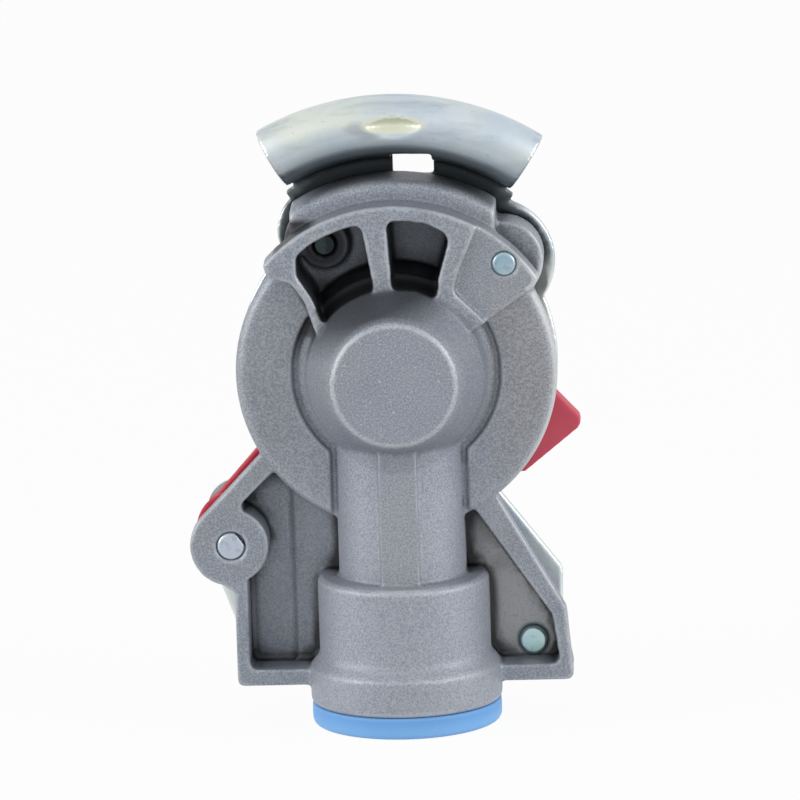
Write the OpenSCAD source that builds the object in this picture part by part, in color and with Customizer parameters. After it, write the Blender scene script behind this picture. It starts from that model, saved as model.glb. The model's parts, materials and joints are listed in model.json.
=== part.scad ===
// Gladhand air brake coupling head of the palm type, with a swinging dust lid and a shut-off valve.
// It stands upright on the shipping plug in its hose port, as it does on a shelf.
// X runs right as seen from the back, Y points out of the mating face, Z runs up the port's axis.
// All sizes are in millimetres and the origin is the middle of the plug's underside.

/* [Port] */
// Radius of the plug's flange
plug_flange_radius = 19; // [16:0.1:19.2]
// Height of the plug's flange
plug_flange_height = 4.5; // [3:0.1:8]
// Rounding of the flange's lower edge
plug_edge_rounding = 1.4; // [0.5:0.1:2.8]
// Radius of the widest part of the port
port_radius = 19.2; // [18:0.1:22]
// Height of the widest part of the port
port_height = 8.5; // [6:0.1:12]
// Radius of the collar above it
collar_radius = 17.2; // [15:0.1:18]
// Height of the collar
collar_height = 17.3; // [14:0.1:20]
// Radius of the stem between the collar and the head
stem_radius = 12.8; // [11:0.1:14]
// Core radius of the port's thread
thread_radius = 10.2; // [8:0.1:11]
// Depth of the port's thread
thread_depth = 16; // [12:0.5:20]
// Radius of the air passage in the stem
passage_radius = 7; // [5:0.1:8]

/* [Head] */
// Height of the seal's axis above the floor
seal_axis_height = 72; // [68:0.5:80]
// Depth of the mating face in front of the port's axis
face_depth = 9.6; // [9:0.1:11]
// Radius of the round head
ring_radius = 32.2; // [31:0.1:34]
// Depth of the head's back behind the port's axis
ring_back = 4; // [3:0.1:6]
// Radius of the dome's flat end
dome_flat_radius = 12.5; // [11:0.1:14]
// Radius of the dome's foot
dome_foot_radius = 20; // [19:0.1:21]
// Depth of the dome's flat end behind the port's axis
dome_back = 17.3; // [16.5:0.1:20]
// Outer radius of the ribbed fan above the dome
fan_radius = 34.7; // [33.5:0.1:36]
// Depth of the fan's frame behind the port's axis
fan_back = 8.3; // [7.5:0.1:10]
// Width of the fan's curved band
fan_band = 3; // [2.4:0.1:4]
// Depth of the windows' floors in front of the port's axis
window_floor = 7; // [4:0.1:7.4]
// Radius of the shoulder under the claw
shoulder_radius = 38.6; // [37.5:0.1:39.4]
// Half width of the shoulder
shoulder_half = 20.5; // [19:0.1:23]
// Rounding of the shoulder's back edge
shoulder_rounding = 2; // [0.5:0.1:3]

/* [Wings] */
// Half width of the wings at their foot
wing_half = 33.8; // [32:0.1:36]
// Height of the wings' foot above the floor
wing_foot = 8.1; // [7:0.1:9.5]
// Depth of the wings' rims behind the port's axis
wing_back = 3; // [2:0.1:3.8]
// Width of the wings' rims
wing_rim = 2.7; // [2:0.1:3.5]
// Height of the wings' lower rims
wing_sill = 3.4; // [2.5:0.1:4.5]
// How far the wings' sides draw in towards the front
wing_draft = 1.6; // [0.5:0.1:2]
// Thickness of the wings' floors
wing_floor = 4; // [3:0.1:5]
// Distance of the lid's pin to the left of the port's axis
pivot_left = 34.3; // [33:0.1:36]
// Height of the lid's pin above the floor
pivot_height = 37; // [35:0.1:40]
// Radius of the boss round the lid's pin
pivot_boss = 8.2; // [7.8:0.1:9]

/* [Guide plate] */
// Radius of the plate's round part
plate_radius = 31.9; // [31:0.1:32.5]
// Thickness of the pressed sheet
sheet = 2.4; // [1.8:0.1:2.8]
// Radius from the seal's axis to the middle of the claw's roll
claw_radius = 49.1; // [48:0.1:51]
// Outer radius of the claw's roll
claw_roll = 6.3; // [5.8:0.1:6.6]
// Depth of the claw's roll in front of the port's axis
claw_depth = 2.4; // [2:0.1:3]
// Angle at which the claw's roll stops
claw_mouth = 66; // [50:1:72]
// Angle of the claw's left end from upright
claw_left = 29; // [24:1:34]
// Angle of the claw's right end from upright
claw_right = 33.4; // [28:0.1:38]
// Half angle of the lip below the seal
lip_half = 22; // [18:1:23]
// Outer radius of the lip
lip_radius = 52.2; // [51:0.1:53]
// Depth of the lip's front
lip_front = 28.4; // [27:0.1:30]

/* [Lid] */
// Radius of the lid's cap
lid_radius = 25; // [22:0.1:25.5]
// Gap between the lid and the seal
lid_gap = 0.4; // [0.3:0.1:1]
// Thickness of the lid's arm
lid_arm = 4; // [3:0.1:5]
// Radius of the lid's hub
lid_hub = 6.9; // [6.5:0.05:7.5]
// Radius of the lid's pin
pin_radius = 2.85; // [2.5:0.05:3]
// Wire radius of the lid's spring
lid_wire = 0.8; // [0.6:0.05:0.9]
// Number of full turns of the lid's spring
lid_turns = 4; // [3:1:5]

/* [Seal and valve] */
// Radius of the seal's rim under the guide plate
seal_rim = 19; // [18:0.1:19.5]
// Radius of the seal's face
seal_radius = 17; // [16:0.1:17.2]
// Radius of the seal's hole
seal_hole = 10.5; // [9.5:0.1:11]
// Height of the seal's face above the guide plate
seal_proud = 3; // [2:0.1:3.5]
// Radius of the valve chamber
chamber_radius = 14.5; // [13.5:0.1:15]
// Stroke of the valve
valve_stroke = 3.5; // [2.5:0.1:4]

/* [Fits] */
// Radial clearance of a part that turns or slides
running_fit = 0.06; // [0.03:0.01:0.1]
// Radial clearance of a part that is fixed in its seat
seat_fit = 0.03; // [0.02:0.01:0.06]
// Gap between pieces that move past each other
moving_gap = 0.3; // [0.2:0.05:0.5]

/* [Build] */
// Piece to draw
// Number of sides of a full circle
$fn = 96; // [48:8:160]

/* [Hidden] */

// Places on the back view, as [x, z]
seal_axis = [0, seal_axis_height];
pivot = [-pivot_left, pivot_height];
upper_left = seal_axis + polar(fan_radius - 6.2, 119.2);
upper_right = seal_axis + polar(fan_radius - 3.2, 45.1);
lower_right = [wing_half - 8.2, wing_foot + 6.6];
lower_left = [-wing_half + 5.3, wing_foot + 11.9];
right_knee = [wing_half - 5.5, wing_foot + 19.2];
leg_half = 3.4;
plate_ear = 6.3;

// Bend between the plate's flat and the claw's wall
claw_bend = 2;
claw_wall = claw_radius - claw_roll;

// Levels up the port
port_floor = plug_flange_height;
port_top = port_floor + port_height;
collar_top = port_top + collar_height;
collar_front = 14.5;

// Depths along Y
plate_front = face_depth + sheet;
seal_front = plate_front + seal_proud;
lid_back = seal_front + lid_gap;
lid_front = lid_back + lid_arm;
hub_back = plate_front + moving_gap;
hub_front = lid_front + 2.6;
spring_back = hub_front + moving_gap;
spring_pitch = 2 * lid_wire + 0.2;
spring_length = lid_turns * spring_pitch + 2 * lid_wire;
tang_depth = spring_back + spring_length - lid_wire;
washer_back = spring_back + spring_length + 0.3;
washer_front = washer_back + 1.2;
pin_front = washer_front + 2.2;
wing_floor_back = face_depth - wing_floor;
wing_ledge = 0.5;
panel_back = fan_back - 1.4;
fan_front = -1;
shoulder_back = -2;
boss_back = 1;
step_depth = 1.4;

// Rivets and pins
rivet_radius = 2.4;
wing_rivet_radius = 2.8;
rivet_head = 4.4;
rivet_boss = 8.1;
window_boss = 3;
rivet_proud = 0.6;
head_depth = 1.9;
slot_width = 2 * lid_wire + 0.4;

// Lid
arm_angle = atan2(seal_axis.y - pivot.y, seal_axis.x - pivot.x);
tang_angle = arm_angle + 90;
tab_angle = 38.8;
tab_reach = 34.8;
tab_near = 2.4;
tab_far = 19.1;
peg_reach = 17;
peg_side = 2.5;
peg_radius = 1.6;
spring_radius = 5.6;

// Valve
seal_seat = face_depth - 5;
chamber_back = 7;
pocket_radius = 9;
pocket_back = dome_back - 3;
cage_floor = 2;
guide_radius = 2.5;
poppet_radius = 12.5;
poppet_back = -1.6;
poppet_front = 1;
guide_front = poppet_back - valve_stroke - 0.5;
nose_radius = 7.5;
valve_wire = 0.6;
valve_coil = 5.6;
valve_turns = 4;
groove_back = pocket_back - cage_floor;
groove_width = 1.2;
groove_depth = 0.9;
ring_gap = 60;

casting_grey = [0.56, 0.56, 0.58];
zinc = [0.78, 0.8, 0.8];
lid_red = [0.72, 0.12, 0.14];
plug_blue = [0.3, 0.58, 0.85];
rubber = [0.1, 0.1, 0.1];
brass = [0.78, 0.65, 0.36];
spring_steel = [0.6, 0.61, 0.63];

// Point at a radius and an angle
function polar(radius, angle) = radius * [cos(angle), sin(angle)];

// Direction of a vector
function unit(v) = v / norm(v);

// Points of a corner, rounded if its radius is above zero
function rounded_corner(before, at, after, radius) =
    radius == 0 ? [at] :
    let (
        u = unit(before - at),
        v = unit(after - at),
        half = acos(u * v) / 2,
        middle = at + unit(u + v) * radius / sin(half),
        start = at + u * radius / tan(half) - middle,
        from = atan2(start.y, start.x),
        turn = (cross(u, v) > 0 ? -1 : 1) * (180 - 2 * half)
    )
    [for (i = [0 : 5]) middle + polar(radius, from + turn * i / 5)];

// Outline through corners that are given as [point, rounding]
function rounded(corners) =
    let (n = len(corners))
    [
        for (i = [0 : n - 1])
            each rounded_corner(corners[(i + n - 1) % n][0], corners[i][0], corners[(i + 1) % n][0], corners[i][1])
    ];

// Corners of one ring of a wire, given its middle, its direction and a vector across it
function wire_ring(middle, along, across, radius, sides) =
    let (
        forward = along / norm(along),
        flat = across - forward * (across * forward),
        side = flat / norm(flat),
        other = cross(forward, side)
    )
    [for (i = [0 : sides - 1]) middle + radius * (cos(360 * i / sides) * side + sin(360 * i / sides) * other)];

// Solid wire through a list of points
module wire(path, radius, sides, across) {
    last = len(path) - 1;
    rings = [
        for (i = [0 : last])
            wire_ring(path[i], path[min(i + 1, last)] - path[max(i - 1, 0)], across, radius, sides)
    ];
    corners = [for (ring = rings) each ring];
    walls = [
        for (i = [0 : last - 1], j = [0 : sides - 1])
            let (k = (j + 1) % sides)
            each [
                [i * sides + j, (i + 1) * sides + j, (i + 1) * sides + k],
                [i * sides + j, (i + 1) * sides + k, i * sides + k],
            ]
    ];
    ends = [
        [for (j = [0 : sides - 1]) j],
        [for (j = [sides - 1 : -1 : 0]) last * sides + j],
    ];
    polyhedron(corners, concat(walls, ends), convexity = 10);
}

// Extrudes an outline, drawn as seen from the back, between two depths
module slab(back, front) {
    translate([0, front, 0])
        rotate([90, 0, 0])
            linear_extrude(front - back)
                children();
}

// Moves an outline to the seal's axis
module at_seal() {
    translate(seal_axis)
        children();
}

// Turns a profile of [radius, depth] about the seal's axis, from one angle to another
module turned(from = 0, to = 360) {
    translate([0, 0, seal_axis_height])
        rotate([-90, 0, 0])
            rotate([0, 0, -to])
                rotate_extrude(angle = to - from)
                    children();
}

// Round bar along Y at a place on the back view
module rod(at, radius, back, front) {
    translate([at.x, front, at.y])
        rotate([90, 0, 0])
            cylinder(r = radius, h = front - back);
}

// Cone along Y that widens to the front
module countersink(at, small, large, back, front) {
    translate([at.x, front, at.y])
        rotate([90, 0, 0])
            cylinder(r1 = large, r2 = small, h = front - back);
}

// Outline of a link with round ends; its sides end just inside them, so that the outlines cross cleanly
module link(a, a_radius, b, b_radius) {
    inside = 0.03;
    along = atan2(b.y - a.y, b.x - a.x);
    lean = acos((a_radius - b_radius) / norm(b - a));
    translate(a)
        circle(a_radius);
    translate(b)
        circle(b_radius);
    polygon([
        a + polar(a_radius - inside, along + lean),
        b + polar(b_radius - inside, along + lean),
        b + polar(b_radius - inside, along - lean),
        a + polar(a_radius - inside, along - lean),
    ]);
}

// Part of a round band, for a bend in a sheet; the angles span less than half a turn
module bend(middle, inner, outer, from, to) {
    translate(middle)
        intersection() {
            difference() {
                circle(outer);
                circle(inner);
            }
            polygon([
                [0, 0],
                polar(2 * outer, from),
                polar(2 * outer, (from + to) / 2),
                polar(2 * outer, to),
            ]);
        }
}

// Profile of the round head: a rounded back edge, and a side that draws in towards the front
module ring_profile(rounding, draft) {
    polygon([
        [0, -ring_back],
        [ring_radius - rounding, -ring_back],
        [ring_radius, -ring_back + rounding],
        [ring_radius - draft, face_depth],
        [0, face_depth],
    ]);
    translate([ring_radius - rounding, -ring_back + rounding])
        circle(rounding);
}

// Outline of the step that runs round the dome and down both sides of the stem
module step_outline() {
    at_seal()
        circle(dome_foot_radius + 0.9);
    translate([-stem_radius - 0.9, seal_axis_height - 2 * ring_radius])
        square([2 * stem_radius + 1.8, 2 * ring_radius]);
}

// Outline of the fan's frame round the seal's axis
module fan_outline() {
    intersection() {
        circle(fan_radius);
        polygon(rounded([
            [[0, 0], 0],
            [polar(17.2, 152), 0],
            [polar(19.5, 146.2), 0],
            [polar(23.5, 138.8), 0],
            [polar(28, 136.3), 2],
            [polar(fan_radius - 2.2, 140.4), 1.2],
            [polar(fan_radius + 0.8, 137.2), 0.8],
            [polar(2 * fan_radius, 120), 0],
            [polar(2 * fan_radius, 60), 0],
            [polar(fan_radius + 0.6, 34.2), 0],
            [polar(fan_radius - 1.4, 31.8), 1.2],
            [polar(dome_foot_radius + 1.5, 30), 0],
        ]));
    }
}

// Outline of the two windows in the fan
module window_outline() {
    band = fan_radius - fan_band;
    polygon(rounded([
        [polar(12, 148), 0],
        [polar(18.4, 140.9), 0],
        [polar(23, 134.8), 0],
        [polar(band - 3.4, 132.4), 2],
        [polar(band - 0.3, 127.6), 2],
        [polar(band, 121), 0],
        [polar(band, 115), 0],
        [polar(band, 108), 0],
        [polar(band, 101), 1.5],
        [polar(21.7, 101.6), 0],
        [polar(12, 105.5), 0],
    ]));
    polygon(rounded([
        [polar(12, 88), 0],
        [polar(21.5, 90.9), 0],
        [polar(band, 91.8), 1.5],
        [polar(band, 84), 0],
        [polar(band, 77), 1.5],
        [polar(band - 1, 67.6), 2.4],
        [polar(21.7, 65.2), 0],
        [polar(18, 61.5), 0],
        [polar(12, 54), 0],
    ]));
}

// Outline of the sunken panel at the fan's right end
module panel_outline() {
    polygon(rounded([
        [polar(2 * fan_radius, 60.5), 0],
        [polar(fan_radius - 1, 60.2), 0],
        [polar(25.2, 58.2), 0],
        [polar(20.8, 55), 2],
        [polar(21.6, 28), 0],
        [polar(2 * fan_radius, 30), 0],
    ]));
}

// Shoulder that carries the claw, with a rounded back edge
module shoulder() {
    rounded = shoulder_radius - shoulder_rounding;
    intersection() {
        slab(shoulder_back, face_depth)
            at_seal()
                translate([-shoulder_half, 0])
                    square([2 * shoulder_half, 2 * shoulder_radius]);
        turned()
            union() {
                polygon([
                    [0, shoulder_back],
                    [rounded, shoulder_back],
                    [shoulder_radius, shoulder_back + shoulder_rounding],
                    [shoulder_radius, face_depth],
                    [0, face_depth],
                ]);
                translate([rounded, shoulder_back + shoulder_rounding])
                    circle(shoulder_rounding);
            }
    }
}

// Outline of the left wing with the pin's boss; its slope and boss draw in by an inset
module left_wing_outline(inset = 0) {
    edge = 46;
    touch = pivot + polar(pivot_boss - inset, edge + 90);
    translate(pivot)
        circle(pivot_boss - inset);
    polygon(rounded([
        [touch, 0],
        [touch + polar(22, edge), 0],
        [[0, seal_axis_height - 14], 0],
        [[0, wing_foot], 0],
        [[-wing_half, wing_foot], 1.4],
        [[-wing_half, pivot_height - pivot_boss - 1.4], 0],
        [pivot - [1.5, pivot_boss - inset], 0],
    ]));
}

// Outline of the right wing; its slope draws in by an inset
module right_wing_outline(inset = 0) {
    in = inset * [0.87, 0.5];
    polygon(rounded([
        [[0, seal_axis_height - 14], 0],
        [[16, seal_axis_height - 20] - in, 0],
        [[wing_half - 1.2, 22.9] - in, 2],
        [[wing_half, wing_foot], 1.4],
        [[0, wing_foot], 0],
    ]));
}

// Outline of the left wing's hollow
module left_pocket_outline() {
    edge = 44;
    notch = pivot + [2.4, 8.7];
    difference() {
        polygon(rounded([
            [notch, 0.8],
            [notch + polar(20, edge), 0],
            [[0, seal_axis_height - 16], 0],
            [[0, wing_foot + wing_sill], 0],
            [[-wing_half + wing_rim, wing_foot + wing_sill], 1.4],
            [[-wing_half + wing_rim, pivot_height - pivot_boss], 0],
        ]));
        translate(pivot)
            circle(pivot_boss - 0.6);
    }
}

// Outline of the right wing's hollow
module right_pocket_outline() {
    polygon(rounded([
        [[0, seal_axis_height - 26], 0],
        [[13.2, seal_axis_height - 26], 0],
        [[wing_half - 1.2 - wing_rim - 0.2, 21.6], 2],
        [[wing_half - wing_rim, wing_foot + wing_sill], 1.4],
        [[0, wing_foot + wing_sill], 0],
    ]));
}

// Wings with their hollows; the sides draw in behind the rims
module wings() {
    difference() {
        union() {
            slab(-wing_back, wing_ledge)
                left_wing_outline();
            slab(wing_ledge, face_depth)
                left_wing_outline(wing_draft);
            slab(-wing_back, wing_ledge)
                right_wing_outline();
            slab(wing_ledge, face_depth)
                right_wing_outline(wing_draft);
        }
        slab(-wing_back - 1, wing_floor_back)
            left_pocket_outline();
        slab(-wing_back - 1, wing_floor_back)
            right_pocket_outline();
        slab(wing_floor_back - 1, wing_floor_back + 0.7)
            intersection() {
                left_pocket_outline();
                translate([-60, 0])
                    square([60 - 22, 100]);
            }
    }
}

// Fan, shoulder and rivet bosses
module crown() {
    difference() {
        union() {
            slab(-fan_back, fan_front)
                at_seal()
                    fan_outline();
            shoulder();
            rod(upper_left, rivet_boss, boss_back, face_depth);
            rod(upper_right - [0.5, 1], rivet_boss, boss_back, face_depth);
            turned()
                ring_profile(2.2, 1.2);
        }
        slab(-ring_back - 1, -ring_back + step_depth)
            difference() {
                step_outline();
                at_seal()
                    fan_outline();
            }
        slab(-fan_back - 1, window_floor)
            at_seal()
                window_outline();
        slab(-fan_back - 1, -panel_back)
            at_seal()
                panel_outline();
    }
    intersection() {
        rod(upper_left, 5, window_floor - window_boss, face_depth);
        slab(-fan_back, face_depth)
            at_seal()
                circle(fan_radius);
    }
}

// Port, collar and stem before they are bored
module neck() {
    intersection() {
        rotate_extrude()
            polygon([
                [0, port_floor],
                [port_radius - 0.7, port_floor],
                [port_radius, port_floor + 0.7],
                [port_radius, port_top - 1.3],
                [port_radius - 0.5, port_top - 0.5],
                [collar_radius + 0.4, port_top + 0.8],
                [collar_radius, port_top + 1.8],
                [collar_radius, collar_top - 0.8],
                [collar_radius - 0.8, collar_top],
                [0, collar_top],
            ]);
        translate([-50, -50, 0])
            cube([100, 50 + collar_front, 2 * collar_top]);
    }
    intersection() {
        translate([0, 0, port_top])
            cylinder(r = stem_radius, h = seal_axis_height - port_top);
        translate([-50, -50, 0])
            cube([100, 50 + face_depth, 2 * seal_axis_height]);
    }
    translate([-3.8, -stem_radius - 0.7, collar_top - 1])
        cube([7.6, 4, seal_axis_height - collar_top - 10]);
}

// Dome over the valve chamber
module dome() {
    turned()
        polygon([
            [0, -dome_back],
            [dome_flat_radius - 0.5, -dome_back],
            [dome_flat_radius + 0.2, -dome_back + 0.5],
            [dome_foot_radius - 2.2, -ring_back - 3.4],
            [dome_foot_radius - 1.7, -ring_back - 0.8],
            [dome_foot_radius - 1, -ring_back + 0.5],
            [dome_foot_radius + 0.2, -ring_back + step_depth],
            [dome_foot_radius + 0.6, window_floor],
            [dome_foot_radius + 0.6, face_depth],
            [0, face_depth],
        ]);
}

// Bores for the seal, the valve and its snap ring
module chamber() {
    turned()
        polygon([
            [0, face_depth + 1],
            [seal_rim + seat_fit, face_depth + 1],
            [seal_rim + seat_fit, seal_seat],
            [chamber_radius, seal_seat],
            [chamber_radius, -chamber_back],
            [pocket_radius, -chamber_back - 2],
            [pocket_radius, -groove_back + groove_width],
            [pocket_radius + groove_depth, -groove_back + groove_width],
            [pocket_radius + groove_depth, -groove_back],
            [pocket_radius, -groove_back],
            [pocket_radius, -pocket_back],
            [0, -pocket_back],
        ]);
    translate([0, 0, port_floor + thread_depth - 1])
        cylinder(r = passage_radius, h = seal_axis_height - chamber_radius - thread_depth);
    translate([0, 0, port_floor - 1])
        cylinder(r = thread_radius, h = thread_depth + 1);
}

// The one-piece casting
module body_casting() {
    color(casting_grey)
        difference() {
            union() {
                wings();
                crown();
                neck();
                dome();
            }
            chamber();
            turned(from = 150, to = 205)
                translate([22.6, 0.5])
                    square([5.6, face_depth]);
            turned(from = -30, to = 25)
                translate([22.6, 0.5])
                    square([5.6, face_depth]);
            rod(upper_left, rivet_radius + seat_fit, -20, 20);
            rod(upper_right, rivet_radius + seat_fit, -20, 20);
            rod(lower_right, wing_rivet_radius + seat_fit, -20, 20);
            rod(pivot, pin_radius + seat_fit, -20, 20);
            translate([pivot.x, -wing_back - 0.01, pivot.y])
                rotate([-90, 0, 0])
                    cylinder(r1 = pin_radius + 0.35, r2 = pin_radius + seat_fit, h = 0.4);
            translate([lower_right.x, wing_floor_back - 0.01, lower_right.y])
                rotate([-90, 0, 0])
                    cylinder(r1 = wing_rivet_radius + 0.5, r2 = wing_rivet_radius + seat_fit, h = 0.6);
        }
}

// Flat outline of the guide plate, without its holes
module web_outline() {
    at_seal()
        circle(plate_radius);
    at_seal()
        intersection() {
            circle(claw_wall - claw_bend);
            polygon([
                [0, 0],
                polar(2 * claw_radius, 87.4 - claw_right),
                polar(2 * claw_radius, 90),
                polar(2 * claw_radius, 93 + claw_left),
            ]);
        }
    translate(upper_left + [-0.7, 1.7])
        circle(rivet_boss + 0.8);
    translate(upper_right - [2.9, 2.7])
        circle(rivet_boss + 4.5);
    link(seal_axis + polar(24, 228), 8, pivot, plate_ear);
    link(pivot, plate_ear, lower_left, 6);
    link(seal_axis + [13.4, -25.2], leg_half, right_knee, leg_half);
    link(right_knee, leg_half, lower_right, 5.8);
}

// Half disc that rounds the end of a sheet, facing an angle
module sheet_end(middle, facing) {
    translate(middle)
        rotate(facing)
            intersection() {
                circle(sheet / 2);
                translate([0, -sheet])
                    square(2 * sheet);
            }
}

// Profile of the claw outside the flat web: bend, wall and roll
module claw_profile() {
    inner = claw_roll - sheet;
    translate([claw_wall - claw_bend - 0.6, face_depth])
        square([0.6, sheet]);
    bend([claw_wall - claw_bend, face_depth - claw_bend], claw_bend, claw_bend + sheet, 0, 90);
    translate([claw_wall, claw_depth])
        square([sheet, face_depth - claw_bend - claw_depth]);
    translate([claw_radius, claw_depth])
        difference() {
            circle(claw_roll);
            circle(inner);
            polygon([
                [0, 0],
                polar(2 * claw_roll, claw_mouth),
                polar(2 * claw_roll, claw_mouth / 2 + 90),
                polar(2 * claw_roll, 180),
            ]);
        }
}

// Profile of the lip: ramp, shelf, wall and flange
module lip_profile() {
    shelf = collar_front + 0.5;
    wall = lip_radius - 6.2;
    polygon([
        [plate_radius - 2, face_depth],
        [plate_radius + 3, face_depth],
        [plate_radius + 7.2, shelf],
        [wall - 2, shelf],
        [wall - 2, shelf + sheet],
        [plate_radius + 6, shelf + sheet],
        [plate_radius + 1.8, plate_front],
        [plate_radius - 2, plate_front],
    ]);
    bend([wall - 2, shelf + sheet + 2], 2, 2 + sheet, -90, 0);
    translate([wall, shelf + sheet + 2])
        square([sheet, lip_front - shelf - 2 * sheet - 4]);
    bend([wall + sheet + 2, lip_front - sheet - 2], 2, 2 + sheet, 90, 180);
    translate([wall + sheet + 2, lip_front - sheet])
        square([lip_radius - wall - sheet - 2 - sheet / 2, sheet]);
    sheet_end([lip_radius - sheet / 2, lip_front - sheet / 2], 0);
}

// Notch that a wedge-edged wheel presses into the claw's back
module dimple() {
    wheel = 11;
    depth = 1.9;
    for (side = [0, 180])
        translate([0.9, claw_depth - claw_roll + depth - wheel, seal_axis_height + claw_radius + 1])
            rotate([side, 0, 0])
                cylinder(r1 = wheel, r2 = wheel - 3.2, h = 4.6);
}

// Countersunk hole for a rivet in the plate
module rivet_hole(at, radius) {
    rod(at, radius + seat_fit, 0, 20);
    countersink(at, radius, rivet_head + seat_fit, plate_front - head_depth, plate_front + 0.001);
}

// Pressed plate with the claw and the lip
module guide_plate() {
    color(zinc)
        difference() {
            union() {
                slab(face_depth, plate_front)
                    web_outline();
                turned(from = 90 - claw_right, to = 90 + claw_left)
                    claw_profile();
                turned(from = 270 - lip_half, to = 270 + lip_half)
                    lip_profile();
            }
            rod(seal_axis, seal_radius + 0.4, 0, 20);
            translate([0, -2, seal_axis_height + shoulder_radius - 1])
                cube([8.2, 20, 6.3]);
            dimple();
            rivet_hole(upper_left, rivet_radius);
            rivet_hole(upper_right, rivet_radius);
            rivet_hole(lower_right, wing_rivet_radius);
            rod(pivot, pin_radius + seat_fit, 0, 20);
        }
}

// Countersunk rivet from the plate's front to a round end at the back
module rivet(at, radius, back) {
    color(zinc) {
        rod(at, radius, back + 0.4, plate_front);
        translate([at.x, back + 0.4, at.y])
            rotate([90, 0, 0])
                cylinder(r1 = radius, r2 = radius - 0.4, h = 0.4);
        countersink(at, radius - 0.1, rivet_head, plate_front - head_depth + 0.1, plate_front);
    }
}

module rivet_upper_left() {
    rivet(upper_left, rivet_radius, window_floor - window_boss - rivet_proud);
}

module rivet_upper_right() {
    rivet(upper_right, rivet_radius, -panel_back - 0.4);
}

module rivet_lower_right() {
    rivet(lower_right, wing_rivet_radius, wing_floor_back - 1 - rivet_proud);
}

// Place of the peg that the spring pushes on, along the lid's arm
function lid_point(reach, side) = pivot + polar(reach, arm_angle) + polar(side, arm_angle + 90);

// Thumb tab at the lid's right
module tab_outline() {
    at_seal()
        rotate(tab_angle)
            polygon([
                [tab_near, -12],
                [tab_near, -tab_reach + 1],
                [tab_near + 1, -tab_reach],
                [tab_far - 1.6, -tab_reach],
                [tab_far - 0.5, -tab_reach + 0.5],
                [tab_far, -tab_reach + 1.6],
                [tab_far - 1.5, -12],
            ]);
}

// Moulded dust lid with its arm, hub, tab and peg
module lid() {
    color(lid_red)
        difference() {
            union() {
                turned()
                    polygon([
                        [0, lid_back],
                        [lid_radius, lid_back],
                        [lid_radius, lid_back + 2.4],
                        [lid_radius - 1.2, lid_front],
                        [lid_radius - 6, lid_front + 1],
                        [0, lid_front + 1],
                    ]);
                slab(lid_back, lid_front)
                    link(pivot, lid_hub, seal_axis, lid_hub + 2.4);
                slab(lid_back, lid_front + 1)
                    tab_outline();
                rod(pivot, lid_hub, hub_back, hub_front);
                rod(pivot, lid_hub + 0.8, hub_back, hub_back + 2.1);
                rod(lid_point(peg_reach, peg_side), peg_radius, lid_back + 1, spring_back + 3);
            }
            rod(pivot, pin_radius + running_fit, 0, 60);
            turned()
                polygon([
                    [0, lid_back - 1],
                    [lid_radius - 5, lid_back - 1],
                    [lid_radius - 5, lid_back + 1.4],
                    [0, lid_back + 1.4],
                ]);
        }
}

// Pin that the lid turns on, with a flat on its back end, and slotted at the front for the spring
module lid_pin() {
    color(zinc)
        difference() {
            union() {
                rod(pivot, pin_radius, -wing_back + 0.5, pin_front - 0.5);
                translate([pivot.x, -wing_back + 0.5, pivot.y])
                    rotate([90, 0, 0])
                        cylinder(r1 = pin_radius, r2 = pin_radius - 0.4, h = 0.5);
                translate([pivot.x, washer_front, pivot.y])
                    rotate([-90, 0, 0])
                        cylinder(r1 = pin_radius + 1.4, r2 = pin_radius + 0.6, h = pin_front - washer_front);
            }
            translate([pivot.x, tang_depth, pivot.y])
                rotate([0, -tang_angle, 0])
                    cube([20, slot_width, slot_width], center = true);
            translate([pivot.x, -wing_back, pivot.y])
                rotate([0, -35, 0])
                    translate([pin_radius - 0.55, -1, -5])
                        cube([5, 2.4, 10]);
        }
}

// Washer under the pin's head
module pin_washer() {
    color(zinc)
        difference() {
            rod(pivot, spring_radius + lid_wire, washer_back, washer_front);
            rod(pivot, pin_radius + seat_fit, 0, 60);
        }
}

// Torsion spring round the pin: a leg on the lid's peg, the coil, and a tang in the pin's slot
module lid_spring() {
    steps = 20;
    first = spring_back + lid_wire;
    coil = [
        for (i = [0 : steps * lid_turns])
            let (at = pivot + polar(spring_radius, arm_angle + 90 + 360 * i / steps))
            [at.x, first + spring_pitch * i / steps, at.y]
    ];
    foot = lid_point(peg_reach + 3.5, spring_radius);
    color(spring_steel)
        wire(
            concat([[foot.x, first, foot.y]], coil, [[pivot.x, tang_depth, pivot.y]]),
            lid_wire,
            8,
            [0, 1, 0]
        );
}

// Rubber ring in the mating face
module face_seal() {
    color(rubber)
        turned()
            polygon([
                [seal_hole, seal_seat],
                [seal_rim, seal_seat],
                [seal_rim, face_depth - 0.1],
                [seal_radius, face_depth - 0.1],
                [seal_radius, seal_front - 0.8],
                [seal_radius - 0.8, seal_front],
                [seal_hole + 2.4, seal_front],
                [seal_hole, seal_front - 2.4],
            ]);
}

// Sliding part of the valve: disc, hollow nose with slots and a guide rod
module valve_poppet() {
    color(brass)
        difference() {
            turned()
                polygon([
                    [0, guide_front - 2.4],
                    [guide_radius, guide_front - 2.4],
                    [guide_radius, poppet_back],
                    [poppet_radius, poppet_back],
                    [poppet_radius, poppet_front],
                    [nose_radius, poppet_front],
                    [nose_radius, plate_front + 0.4],
                    [nose_radius - 0.8, plate_front + 1.2],
                    [nose_radius - 2, plate_front + 1.2],
                    [nose_radius - 2, poppet_front],
                    [0, poppet_front],
                ]);
            for (turn = [0, 60, 120])
                translate([0, 0, seal_axis_height])
                    rotate([0, turn, 0])
                        translate([-20, poppet_front + 4.2, -2])
                            cube([40, 6, 4]);
        }
}

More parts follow.
